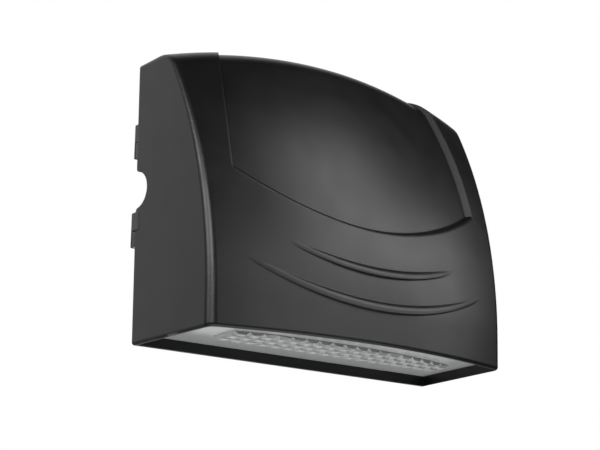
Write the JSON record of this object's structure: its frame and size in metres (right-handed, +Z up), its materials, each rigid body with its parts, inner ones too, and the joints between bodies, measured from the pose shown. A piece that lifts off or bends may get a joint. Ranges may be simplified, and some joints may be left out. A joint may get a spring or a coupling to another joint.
{
  "type": "outdoor wall light",
  "caption": "Cast full-cutoff outdoor wall light: a bowed hood with a recessed front panel and crescent ribs, hinged on a wall box, with a prismatic lens in its underside.",
  "frame": {"origin": "middle of the wall-screw pattern, on the wall plane", "axes": "+Z up, -Y out of the wall towards the front, +X to the right seen from the front"},
  "size_m": [0.3158, 0.1413, 0.2585],
  "materials": {
    "hood_paint": "satin textured powder coat",
    "box_paint": "satin textured powder coat",
    "lens_clear": "clear moulded prisms",
    "silicone": "matte",
    "foam": "closed-cell foam",
    "white_tray": "white",
    "white_board": "solder mask",
    "green_board": "solder mask",
    "pad": "matte",
    "led_phosphor": "clear dome over phosphor",
    "white_plastic": "moulded",
    "dark_plastic": "moulded",
    "zinc_steel": "zinc plated",
    "zinc_sheet": "galvanised",
    "driver_case": "white",
    "brass_screw": "bright",
    "black_rubber": "matte",
    "lead_sheath": "satin sheath",
    "stainless": "plain",
    "nylon": "black",
    "ground_green": "green plated"
  },
  "bodies": {
    "wall_mount": {"wall_box": "box_paint", "wall_gasket": "foam", "box_gasket": "silicone", "hinge_pins": "stainless", "hinge_washers": "nylon", "ground_screw": "ground_green"},
    "housing": {"housing": "hood_paint", "lens": "lens_clear", "lens_gasket": "silicone", "reflector": "white_tray", "led_board": "white_board", "thermal_pad": "pad", "leds": "led_phosphor", "led_connector": "white_plastic", "led_board_screws": "zinc_steel", "gear_plate": "zinc_sheet", "gear_plate_screws": "zinc_steel", "driver_base": "driver_case", "driver_cover": "driver_case", "driver_board": "green_board", "driver_screws": "zinc_steel", "terminal_block": "dark_plastic", "terminal_screws": "brass_screw", "terminal_block_screws": "zinc_steel", "wire_grommet": "black_rubber", "lead_grommet": "black_rubber", "driver_input_lead": "lead_sheath", "led_lead": "lead_sheath"},
    "closing_screw_upper": {"closing_screw_upper": "stainless", "closing_washer_upper": "stainless"},
    "closing_screw_lower": {"closing_screw_lower": "stainless", "closing_washer_lower": "stainless"}
  },
  "joints": [
    {"name": "housing_swing", "type": "hinge", "parent": "wall_mount", "child": "housing", "pos_m": [-0.15092, -0.0046, 0], "axis": [0, 0, -1], "range_deg": [0, 90]},
    {"name": "closing_screw_upper_turn", "type": "hinge", "parent": "wall_mount", "child": "closing_screw_upper", "pos_m": [0.15, -0.0185, 0.05], "axis": [1, 0, 0], "range_deg": [0, 2160]},
    {"name": "closing_screw_lower_turn", "type": "hinge", "parent": "wall_mount", "child": "closing_screw_lower", "pos_m": [0.15, -0.0185, -0.05], "axis": [1, 0, 0], "range_deg": [0, 2160]}
  ]
}
